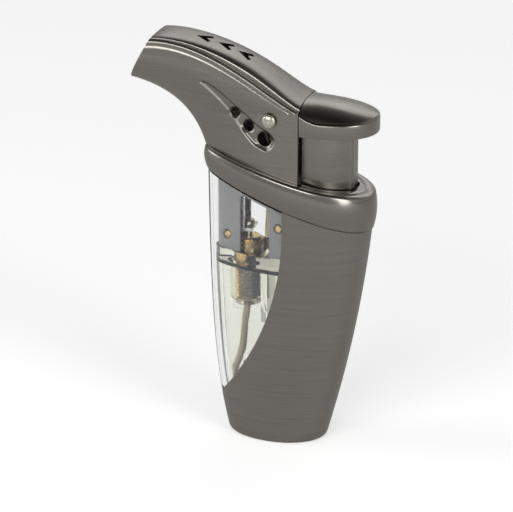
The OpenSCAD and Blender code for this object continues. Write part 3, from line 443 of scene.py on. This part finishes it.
def make_light():
    """A dim studio: grey towards the horizon and dark overhead, with soft boxes in front and at the right."""
    world = bpy.data.worlds.new("studio")
    bpy.context.scene.world = world
    world.use_nodes = True
    tree = world.node_tree
    back = tree.nodes["Background"]
    coords = tree.nodes.new("ShaderNodeTexCoord")
    split = tree.nodes.new("ShaderNodeSeparateXYZ")
    tree.links.new(coords.outputs["Generated"], split.inputs[0])
    ramp = tree.nodes.new("ShaderNodeValToRGB")
    stops = ramp.color_ramp.elements
    stops[0].position, stops[0].color = 0.0, (0.5, 0.5, 0.5, 1)
    stops[1].position, stops[1].color = 1.0, (0.03, 0.03, 0.03, 1)
    for place, level in ((0.3, 0.42), (0.62, 0.36), (0.82, 0.12)):
        stop = stops.new(place)
        stop.color = (level, level, level, 1)
    tree.links.new(split.outputs["Z"], ramp.inputs["Fac"])
    tree.links.new(ramp.outputs["Color"], back.inputs["Color"])
    back.inputs["Strength"].default_value = 1.0
    area_light("key", (-0.2, -0.8, 0.5), (0, 0, 0.045), (0.7, 0.28), 3.4)
    area_light("right", (0.62, -0.42, 0.3), (0, 0, 0.05), (0.3, 0.6), 2.4)
    area_light("left", (-0.8, -0.1, 0.3), (0, 0, 0.05), (0.3, 0.5), 1.4)
    area_light("back", (0.1, 0.8, 0.55), (0, 0, 0.05), (0.9, 0.35), 0.9)


# ---------------------------------------------------------------- case, window and collar
def case_grid(shares, columns, inset, full=False, front=False, drop=0.0):
    """Points of the case wall: all round, or only behind the window's edge, or only in the window."""
    rows = []
    for share in shares:
        edge_t = math.pi if full else window_angle(share)
        if front:
            t = np.linspace(edge_t, 2 * math.pi - edge_t, columns)
        else:
            t = np.linspace(-edge_t, edge_t, columns)
        z = case_height(share, t, drop)
        gap = inset + foot_inset(z)
        rows.append(np.stack([plan_x(z, t, gap), plan_y(z, t, gap), z], -1))
    return np.array(rows)


def case_shares():
    foot = [FOOT_R * (1 - math.cos(a)) / SEAM_Z for a in np.linspace(0, math.pi / 2, 9)[:-1]]
    return foot + list(np.linspace(FOOT_R / SEAM_Z, 1, 130))


def make_case(mats):
    shares = case_shares()
    verts, faces = shell(case_grid(shares, 181, 0), case_grid(shares, 181, CASE_WALL))
    case = piece("case", verts, faces, "torch", ["case_shell"], mats["brushed_gunmetal"])
    return case


def make_window(mats):
    low = WINDOW_TIP_Z / SEAM_Z
    shares = [mix(low * 0.985, 0.995, s) for s in ease_in(90, 1.3)]
    verts, faces = shell(case_grid(shares, 121, 0.02, front=True), case_grid(shares, 121, LENS_T, front=True))
    lens = piece("window", verts, faces, "torch", ["window_lens"], mats["clear_window"])
    return lens


def collar_ring(share, inset, t):
    z = seam_height(t)
    x = plan_x(z, t, inset)
    return np.stack([x, plan_y(z, t, inset), mix(seam_at(x), rim_at(x), share)], -1)


def make_collar(mats):
    t = np.linspace(0, 2 * math.pi, 241)[:-1]
    profile = [(0, COLLAR_IN), (0, 0.35), (0.012, 0.12)]
    for k in range(25):
        a = k / 24
        profile.append((mix(0.04, 0.93, a), -COLLAR_BULGE * math.sin(math.radians(mix(15, 140, a))) ** 0.8))
    profile += [(0.96, -0.52), (0.98, -0.36), (0.993, -0.17), (1, 0.05), (1, COLLAR_IN - 0.15), (0.985, COLLAR_IN)]
    rings = np.array([collar_ring(s, i, t) for s, i in profile])
    rows, cols = rings.shape[:2]
    piece("tilted_collar", rings.reshape(-1, 3), grid_faces(rows, cols, wrap_rows=True, wrap_cols=True),
          "torch", ["collar"], mats["polished_gunmetal"], 50)
    opening = [(x, y) for x, y in post_line(-DECK_GAP, 40)]
    t = np.linspace(0, 2 * math.pi, 361)[:-1]
    edge_line = collar_ring(1, COLLAR_IN - 0.2, t)
    edge_line = [tuple(p) for p in edge_line if p[0] > HEAD_REAR + SEAT]
    edge_line.sort(key=lambda p: math.atan2(p[1], p[0] - HEAD_REAR))
    outline = [(p[0], p[1]) for p in edge_line]
    def slab(line, drop):
        return [(x, y, rim_at(x) - drop) for x, y in line]
    deck_verts, deck_faces = capped(np.array([slab(outline, 0.02), slab(outline, DECK_T)]))
    deck = piece("collar_deck", deck_verts, deck_faces, "torch", [], mats["polished_gunmetal"])
    cut(deck, *prism(opening, 40, 80))
    bevel(deck, 0.16, 3, 50)
    apply_modifiers(deck)
    deck.data.set_sharp_from_angle(angle=math.radians(40))


# ---------------------------------------------------------------- head and cover
def under(s):
    low = np.array([HEAD_FRONT, rim_at(HEAD_FRONT)])
    return bezier([low, low + (-2.3, 7.6), NOZZLE_LOW + (7.8, -2), NOZZLE_LOW], s)


def edge_top(u):
    corner = np.array([HEAD_REAR, CORNER_Z])
    return bezier([corner, corner + (-7.1, 2.8), NOZZLE_HIGH + (13.4, 0.8), NOZZLE_HIGH], u)


def turned(s):
    return max(0.0, (s - CORNER_AT) / (1 - CORNER_AT))


def edge(s):
    if s < CORNER_AT:
        return np.array([HEAD_REAR, mix(rim_at(HEAD_REAR), CORNER_Z, s / CORNER_AT)])
    return edge_top(turned(s))


def head_w(s):
    if s < CORNER_AT:
        return mix(HEAD_FOOT_W, HEAD_BACK_W, s / CORNER_AT)
    return mix(HEAD_BACK_W, NOZZLE_W, turned(s) ** 0.8)


def rim_w(s):
    return head_w(s) - 0.5 * turned(s) ** 2


def side_y(s, p):
    widest, fall, root = mix(1, 0.62, turned(s)), mix(1.6, 2, turned(s)), mix(0.75, 0.5, turned(s))
    near = head_w(s) * np.clip(1 - np.abs(1 - np.minimum(p / widest, 1)) ** fall, 0, None) ** root
    far = head_w(s) - (head_w(s) - rim_w(s)) * np.clip((p - widest) / max(0.01, 1 - widest), 0, None) ** 2
    return np.where(p < widest, near, far)


def head_ring(s, inset, columns):
    low, high = under(s), edge(s)
    along = (high - low) / np.linalg.norm(high - low)
    start = low + along * inset
    j = np.linspace(-1, 1, 2 * columns + 1)
    p = 1 - np.cos(np.abs(j) * math.pi / 2)
    at = start + (high - start) * p[:, None]
    y = side_y(s, p) * (1 - inset / head_w(s)) * np.sign(j)
    return np.stack([at[:, 0], y, at[:, 1]], -1)


def comet_depth(x, z):
    """How far inside the comet-shaped recess a point lies; below zero outside it."""
    end = [(-1.7 + 2.4 * math.cos(a), 68.1 + 2.4 * math.sin(a)) for a in np.radians([-75, -45, -15])]
    line = smooth_route(COMET_LOW + end + COMET_HIGH + [COMET_LOW[0]], 6)
    near = np.full(x.shape, 1e9)
    inside = np.zeros(x.shape, bool)
    for (ax, az), (bx, bz) in zip(line[:-1], line[1:]):
        dx, dz = bx - ax, bz - az
        t = np.clip(((x - ax) * dx + (z - az) * dz) / max(1e-9, dx * dx + dz * dz), 0, 1)
        near = np.minimum(near, np.hypot(x - ax - t * dx, z - az - t * dz))
        if bz != az:
            crosses = ((az > z) != (bz > z)) & (x < (bx - ax) * (z - az) / (bz - az) + ax)
            inside ^= crosses
    return np.where(inside, near, -near)


def smoothstep(v):
    v = np.clip(v, 0, 1)
    return v * v * (3 - 2 * v)


def make_head(mats):
    steps = list(np.linspace(0, CORNER_AT, 151)[:-1]) + list(np.linspace(CORNER_AT, 1, 261))
    outer = np.array([head_ring(s, 0, 150) for s in steps])
    inner = np.array([head_ring(s, HEAD_WALL, 60) for s in steps[::2]])
    sink = COMET_DEPTH * smoothstep((comet_depth(outer[..., 0], outer[..., 2]) + 0.15) / 0.7)
    for x, z, r in VENTS:
        gap = np.hypot(outer[..., 0] - x, outer[..., 2] - z)
        sink = sink + 0.3 * smoothstep((r + 0.35 - gap) / 0.35)
    down = np.array([np.linalg.norm(edge(s) - outer[i][:, [0, 2]], axis=1) for i, s in enumerate(steps)])
    bead = np.array([turned(s) > 0 for s in steps])[:, None]
    sink = sink + bead * (0.38 * smoothstep((0.8 - down) / 0.8) ** 2 + 0.1 * np.exp(-((down - 1.6) / 0.35) ** 2))
    outer[..., 1] -= np.sign(outer[..., 1]) * sink * (np.abs(outer[..., 1]) > 3)
    rows, cols = outer.shape[:2]
    in_rows, in_cols = inner.shape[:2]
    far = rows * cols
    verts = np.concatenate([outer.reshape(-1, 3), inner.reshape(-1, 3)])
    faces = grid_faces(rows, cols) + grid_faces(in_rows, in_cols, far)
    outside = [range(cols), [(rows - 1) * cols + j for j in range(cols)],
               [i * cols for i in range(rows)], [i * cols + cols - 1 for i in range(rows)]]
    inside = [range(in_cols), [(in_rows - 1) * in_cols + j for j in range(in_cols)],
              [i * in_cols for i in range(in_rows)], [i * in_cols + in_cols - 1 for i in range(in_rows)]]
    for a, b in zip(outside, inside):
        faces += bridge(list(a), [far + k for k in b])
    head = piece("head", verts, faces, "torch", ["head_shell"], mats["brushed_gunmetal"])
    for x, z, r in VENTS + [(PIN_X, PIN_Z, PIN_HOLE)]:
        cut(head, *rod((x, -30, z), (x, 30, z), r, 48))
    head.data.set_sharp_from_angle(angle=math.radians(35))


def bridge(a, b):
    """Joins two open rows of points that have different numbers of points."""
    faces, i, j = [], 0, 0
    while i < len(a) - 1 or j < len(b) - 1:
        if j == len(b) - 1 or (i < len(a) - 1 and (i + 1) / (len(a) - 1) <= (j + 1) / (len(b) - 1)):
            faces.append((a[i], a[i + 1], b[j]))
            i += 1
        else:
            faces.append((a[i], b[j + 1], b[j]))
            j += 1
    return faces


def rod(start, end, radius, sides):
    """A straight round bar between two points."""
    a, b = np.array(start, float), np.array(end, float)
    along = (b - a) / np.linalg.norm(b - a)
    side = np.cross(along, (0.31, 0.17, 0.93))
    side /= np.linalg.norm(side)
    up = np.cross(along, side)
    t = np.linspace(0, 2 * math.pi, sides + 1)[:-1]
    ring = radius * (np.cos(t)[:, None] * side + np.sin(t)[:, None] * up)
    return capped(np.array([a + ring, b + ring]))


def prism(outline, low, high, up_axis="z"):
    """A flat outline drawn out along one axis."""
    outline = np.asarray(outline, float)
    def ring(level):
        fill = np.full(len(outline), float(level))
        if up_axis == "z":
            return np.stack([outline[:, 0], outline[:, 1], fill], -1)
        return np.stack([outline[:, 0], fill, outline[:, 1]], -1)
    return capped(np.array([ring(low), ring(high)]))


def cover_up(u):
    a, b = edge_top(max(0, u - 0.01)), edge_top(min(1, u + 0.01))
    along = (a - b) / np.linalg.norm(a - b)
    square = np.array([-along[1], along[0]])
    near, far = (1 - u) ** 8, u ** 8
    end = (NOZZLE_HIGH - NOZZLE_LOW) / np.linalg.norm(NOZZLE_HIGH - NOZZLE_LOW)
    up = square * (1 - near - far) + np.array([0, 1]) * near + end * far
    return up / np.linalg.norm(up)


def crown(u):
    return mix(CROWN_END, CROWN_TIP, u) + CROWN_MID * math.sin(math.pi * u ** 0.8) ** 2.5


def cover_ring(u, drop, columns, inset=0.0):
    s = mix(CORNER_AT, 1, u)
    up = cover_up(u)
    a = np.linspace(-math.pi / 2, math.pi / 2, columns)
    lift = (crown(u) + COVER_SINK) * np.abs(np.cos(a)) ** 0.45 - COVER_SINK - drop
    at = edge_top(u) + up * lift[:, None]
    w = rim_w(s) * (1 - HEAD_WALL / head_w(s)) - GROOVE - inset
    return np.stack([at[:, 0], w * np.sign(a) * np.abs(np.sin(a)) ** 0.75, at[:, 1]], -1)


def make_cover(mats):
    places = np.linspace(0, 1, 141)
    outer = np.array([cover_ring(u, 0, 101) for u in places])
    inner = np.array([cover_ring(u, COVER_T, 101) for u in places])
    verts, faces = shell(outer, inner)
    cover = piece("cover", verts, faces, "torch", ["top_cover"], mats["satin_gunmetal"])
    shoulder, notch, inner_w = CHEVRON_L - 0.6, CHEVRON_L - 1.2, CHEVRON_HALF - 0.9
    shape = np.array([(0, 0), (shoulder, CHEVRON_HALF), (CHEVRON_L, inner_w), (notch, 0),
                      (CHEVRON_L, -inner_w), (shoulder, -CHEVRON_HALF)])
    for u in CHEVRON_AT:
        at, up = edge_top(u), cover_up(u)
        back = np.array([up[1], -up[0]])
        rings = []
        for level in (-3, 5):
            base = at + up * level
            rings.append(np.stack([base[0] + back[0] * shape[:, 0], shape[:, 1], base[1] + back[1] * shape[:, 0]], -1))
        cut(cover, *capped(np.array(rings)))
    bevel(cover, 0.13, 3, 50)
    apply_modifiers(cover)
    cover.data.set_sharp_from_angle(angle=math.radians(40))
    # Painted shade: a black sheet just under the chevron cut-outs, standing in for the shade inside the hollow head
    # seen through them
    dark = np.array([cover_ring(u, COVER_T + 0.1, 21, 0.3) for u in np.linspace(0.4, 0.85, 19)])
    low = np.array([cover_ring(u, COVER_T + 0.3, 21, 0.3) for u in np.linspace(0.4, 0.85, 19)])
    verts, faces = shell(dark, low)
    piece("chevron_painted_shade", verts, faces, "torch", [], mats["black_plastic"])


# ---------------------------------------------------------------- button
def cap_half(x):
    peak = CAP_FRONT + 4.2
    front = CAP_W - (CAP_W - CAP_FRONT_W) * (np.clip(peak - x, 0, None) / (peak - CAP_FRONT)) ** 2
    rear = CAP_W * np.clip(1 - (np.clip(x - peak, 0, None) / (CAP_REAR - peak)) ** 2.3, 0, None) ** 0.435
    return front if x < peak else rear


def cap_crown(x):
    return CORNER_Z + CROWN_END - 2.6 * ((x - CAP_FRONT) / (CAP_REAR - CAP_FRONT)) ** 2


def cap_shoulder(x):
    return min(cap_crown(x) - 0.2, CAP_Z + CAP_RIM + 1.4 * max(0, 1 - (x - CAP_FRONT) / 5) ** 2)


def cap_ring(x, inset, columns, floor):
    """A closed ring across the cap: rounded foot, upright rim, a narrow rounded edge, and the crown."""
    w = max(0.4, float(cap_half(x)) - inset)
    side = cap_shoulder(x) - inset
    rise = cap_crown(x) - inset - side
    foot = [(w - 0.25, floor), (w - 0.07, floor + 0.08), (w, floor + 0.3)]
    edge_r = min(0.35, 0.3 * w)
    turn = [(w - edge_r * (1 - math.cos(a)), side - edge_r + edge_r * math.sin(a))
            for a in np.linspace(0, math.pi / 2 * 0.8, 6)]
    top_w = turn[-1][0]
    lift0 = turn[-1][1]
    a = np.linspace(1, -1, columns)
    top = [(top_w * k, lift0 + (side + rise - lift0) * (1 - abs(k) ** 2.6) ** 0.75) for k in a]
    right = foot + turn
    points = right + top[1:-1] + [(-y, z) for y, z in reversed(right)]
    return np.array([(x, y, z) for y, z in points])


def post_side(t, w, corner):
    return mix(w * 0.93, corner, t ** 2.4) + 0.07 * w * math.sin(math.pi * t)


def post_line(inset, count=48):
    front, rear, w = POST_FRONT + inset, POST_REAR - inset, POST_W - inset
    corner, bend = w * 0.42, 0.7
    side = [(mix(front, rear - bend, t), -post_side(t, w, corner)) for t in np.linspace(0, 1, count)]
    turn = [(float(p[0]), float(p[1])) for p in bezier(
        [(rear - bend, -corner), (rear - 0.2, -corner + 0.3), (rear, -corner + 0.55), (rear, -corner * 0.5)],
        np.linspace(0, 1, 9)[1:])]
    half = side + turn
    return half + [(x, -y) for x, y in reversed(half)]


def make_cap(mats):
    steps = np.sin(np.linspace(math.pi / 2, 0, 61))
    outer = np.array([cap_ring(mix(CAP_FRONT, CAP_REAR, k), 0, 61, CAP_Z) for k in steps])
    verts, faces = capped(outer)
    cap = piece("cap", verts, faces, "button", ["thumb_cap"], mats["polished_gunmetal"])
    inner = np.array([cap_ring(mix(CAP_FRONT + 1, CAP_REAR - 1, k), 1, 31, CAP_Z + 1) for k in steps[::3]])
    cut(cap, *capped(inner))
    cut(cap, *prism(post_line(POST_WALL), CAP_Z - 1, CAP_Z + 2))
    slot = [(CAP_FRONT - 1, -1.5), (CAP_FRONT + 2, -1.5), (CAP_FRONT + 2, 1.5), (CAP_FRONT - 1, 1.5)]
    cut(cap, *prism(slot, CAP_Z - 1, CAP_Z + 5))
    cap.data.set_sharp_from_angle(angle=math.radians(35))


def make_post(mats):
    outer, inner = post_line(0), post_line(POST_WALL)
    def level(line, z):
        return np.array([(x, y, z) for x, y in line])
    rings = np.array([level(inner, POST_Z + 0.1), level(inner, CAP_Z), level(outer, CAP_Z), level(outer, POST_Z + 0.25),
                      level(post_line(0.08), POST_Z + 0.06), level(post_line(0.25), POST_Z),
                      level(post_line(POST_WALL - 0.1), POST_Z)])
    rows, cols = rings.shape[:2]
    post = piece("post", rings.reshape(-1, 3), grid_faces(rows, cols, wrap_rows=True, wrap_cols=True), "button",
                 ["thumb_post"], mats["brushed_gunmetal"])
    slot = [(POST_FRONT - 1, -1.5), (POST_FRONT + 1, -1.5), (POST_FRONT + 1, 1.5), (POST_FRONT - 1, 1.5)]
    cut(post, *prism(slot, CAP_Z - 6, CAP_Z + 5))
    post.data.set_sharp_from_angle(angle=math.radians(40))
    verts, faces = prism(post_line(POST_WALL - 0.05), WEB_Z, WEB_Z + 1.5)
    piece("post_web", verts, faces, "button", [], mats["brushed_gunmetal"])


# ---------------------------------------------------------------- inside the window
def level_line(z, inset, t):
    return np.stack([plan_x(z, t, inset), plan_y(z, t, inset)], -1)


def make_chassis(mats):
    t = np.linspace(0, 2 * math.pi, 241)[:-1]
    outer, inner = level_line(LID_Z, CHASSIS_IN, t), level_line(LID_Z, CHASSIS_IN + CHASSIS_WALL, t)
    keep = [i for i in range(len(t)) if outer[i, 0] < CHASSIS_REAR]
    rows = []
    for z_of in (lambda x: LID_Z, lambda x: rim_at(x) - 3):
        rows.append(z_of)
    outer, inner = outer[keep], inner[keep]
    def wall(line):
        return np.array([[(x, y, mix(LID_Z, rim_at(x) - 3, s)) for x, y in line] for s in np.linspace(0, 1, 25)])
    verts, faces = shell(wall(outer), wall(inner))
    frame_piece = piece("window_frame", verts, faces, "torch", ["chassis"], mats["grey_frame"])
    left, right, top = ARCH_X - ARCH_HALF, ARCH_X + ARCH_HALF, ARCH_TOP
    arch = [(left, LID_Z - 1), (right, LID_Z - 1), (right, top - 3.4)]
    arch += [tuple(p) for p in bezier([(right, top - 3.4), (right, top - 2.4), (right - 0.4, top - 1.9), (right - 1.2, top - 1.6)], np.linspace(0, 1, 9)[1:])]
    arch += [tuple(p) for p in bezier([(left + 1.4, top - 0.15), (left + 0.4, top), (left, top - 0.5), (left, top - 1.6)], np.linspace(0, 1, 9))]
    cut(frame_piece, *prism(arch, -30, 30, "y"))
    for x, z in SCREWS:
        cut(frame_piece, *rod((x, -30, z), (x, 30, z), 0.78, 32))
    bevel(frame_piece, 0.14, 2, 50)
    apply_modifiers(frame_piece)
    frame_piece.data.set_sharp_from_angle(angle=math.radians(40))


def chassis_y(x):
    c = (front_x(LID_Z) + rear_x(LID_Z)) / 2
    a = (rear_x(LID_Z) - front_x(LID_Z)) / 2 - CHASSIS_IN
    t = (x - c) / a
    return (half_w(LID_Z) - CHASSIS_IN) * math.sqrt(1 - t * t) * (1 + egg(LID_Z) * t)


def make_screws(mats):
    """Each brass screw has a domed, slotted head in a dark sunk ring."""
    brass, ring_v, ring_f, head_v, head_f = mats["brass"], [], [], [], []
    def spun(profile, x, y, z, side, verts, faces, sides=40):
        t = np.linspace(0, 2 * math.pi, sides + 1)[:-1]
        start = len(verts)
        for r, out in profile:
            verts.extend([(x + r * math.cos(a), side * (y + out), z + r * math.sin(a)) for a in t])
        faces.extend(grid_faces(len(profile), sides, start, wrap_cols=True))
        return start
    for x, z in SCREWS:
        for side in (-1, 1):
            y = chassis_y(x)
            profile = [(0.02, -1.2), (0.7, -1.2), (0.7, 0.0), (0.62, 0.1), (0.4, 0.16), (0.02, 0.19)]
            spun(profile, x, y, z, side, head_v, head_f)
            rim = [(0.72, -0.3), (0.72, 0.03), (0.86, 0.12), (1.05, 0.1), (1.15, -0.02), (1.15, -0.3), (0.72, -0.3)]
            spun(rim, x, y, z, side, ring_v, ring_f)
    heads = piece("frame_screws", head_v, head_f, "torch", ["chassis_screws"], brass, 40)
    for x, z in SCREWS:
        for side in (-1, 1):
            y = chassis_y(x) * side
            a = math.radians(25 + 40 * side + 8 * x)
            along, across = np.array([math.cos(a), math.sin(a)]), np.array([-math.sin(a), math.cos(a)])
            corners = [np.array([x, z]) + along * u * 0.9 + across * v * 0.09 for u, v in ((-1, -1), (1, -1), (1, 1), (-1, 1))]
            low, high = (y + side * 0.06, y + side * 0.5)
            cut(heads, *prism(corners, min(low, high), max(low, high), "y"))
    heads.data.set_sharp_from_angle(angle=math.radians(40))
    piece("screw_rings", ring_v, ring_f, "torch", [], mats["dark_fitting"], 40)


def smooth_route(points, steps):
    points = [np.array(p, float) for p in points]
    out = []
    for i in range(len(points) - 1):
        a, b = points[max(i - 1, 0)], points[i]
        c, d = points[i + 1], points[min(i + 2, len(points) - 1)]
        for k in range(steps + (1 if i == len(points) - 2 else 0)):
            t = k / steps
            out.append(0.5 * (2 * b + (c - a) * t + (2 * a - 5 * b + 4 * c - d) * t * t + (3 * b - a - 3 * c + d) * t ** 3))
    return np.array(out)


def tube(route, radius, sides=20):
    rings = []
    t = np.linspace(0, 2 * math.pi, sides + 1)[:-1]
    for k in range(len(route)):
        along = route[min(k + 1, len(route) - 1)] - route[max(k - 1, 0)]
        along = along / np.linalg.norm(along)
        side = np.cross(along, (0.13, 1, 0.21))
        side /= np.linalg.norm(side)
        up = np.cross(side, along)
        rings.append(route[k] + radius * (np.cos(t)[:, None] * side - np.sin(t)[:, None] * up))
    return capped(np.array(rings))


def burner_point(up, side, along):
    tilt = math.radians(BURNER_TILT)
    return np.array([-BURNER_AHEAD - along * math.cos(tilt) + up * math.sin(tilt), side,
                     BURNER_Z + along * math.sin(tilt) + up * math.cos(tilt)])


def make_tubes(mats):
    inlet, back = burner_point(0, 0, -15.2), burner_point(0, 0, -18)
    route = [(OUTLET_X, 0, LID_Z + 2.4), (OUTLET_X, 0, LID_Z + 5), (-2.4, 2.2, LID_Z + 9.7), (-2.6, 3.8, RIM_Z - 0.7),
             (-2.6, 4.2, PIN_Z - 4.5), (-3.8, 3.4, PIN_Z + 2.5), back + (0.6, 0.4, -0.4), inlet]
    verts, faces = tube(smooth_route(route, 12), 0.79)
    piece("gas_line", verts, faces, "torch", ["gas_tube"], mats["cream_tube"], 50)
    front = front_x(SPIGOT_Z) + 4
    bow = [(VALVE_X - 0.7, 0.75), (front + 1.2, 0.45), (front - 0.3, 0.21), (front + 0.3, 0.065)]
    route = [(VALVE_X, 0, VALVE_Z + 1.4), (VALVE_X, 0, CUP_Z + 0.6), (VALVE_X, 0, CUP_Z - 1)]
    route += [(x, 0, mix(SPIGOT_Z, CUP_Z - 1, k)) for x, k in bow]
    route += [(front + 2, 0, SPIGOT_Z), (ADJUSTER_X - 0.9, 0, SPIGOT_Z)]
    verts, faces = tube(smooth_route(route, 12), 0.74)
    piece("feed_line", verts, faces, "torch", ["feed_tube"], mats["cream_tube"], 50)
    start = (PIEZO_X - 3.8 - 0.45, 0, LID_Z + 1.8)
    route = [start, (3.2, -1.2, LID_Z + 7.7), (0.6, -3.6, RIM_Z - 2.7), (-1, -4.6, PIN_Z - 6.5), (-4, -5, PIN_Z + 1),
             (-9.5, -4.7, PIN_Z + 6.1), burner_point(0, -INSULATOR_SIDE, -9.3)]
    verts, faces = tube(smooth_route(route, 12), 0.44, 16)
    piece("spark_wire", verts, faces, "torch", ["ignition_wire"], mats["black_wire"], 50)


# ---------------------------------------------------------------- the carried-over nodes
def dress_nodes(mats):
    slot_of = {row["node"]: row["material_slot"] for row in frame["record"]["subparts"]}
    for name, obj in frame["nodes"].items():
        obj.data.materials.clear()
        obj.data.materials.append(mats[slot_of[name]])
        obj.data.shade_smooth()
        obj.data.set_sharp_from_angle(angle=math.radians(30))


bpy.context.scene.view_settings.view_transform = "Standard"
make_camera()
make_light()
make_floor()
materials = make_materials()
dress_nodes(materials)
make_case(materials)
make_window(materials)
make_collar(materials)
make_head(materials)
make_cover(materials)
make_cap(materials)
make_post(materials)
make_chassis(materials)
make_screws(materials)
make_tubes(materials)
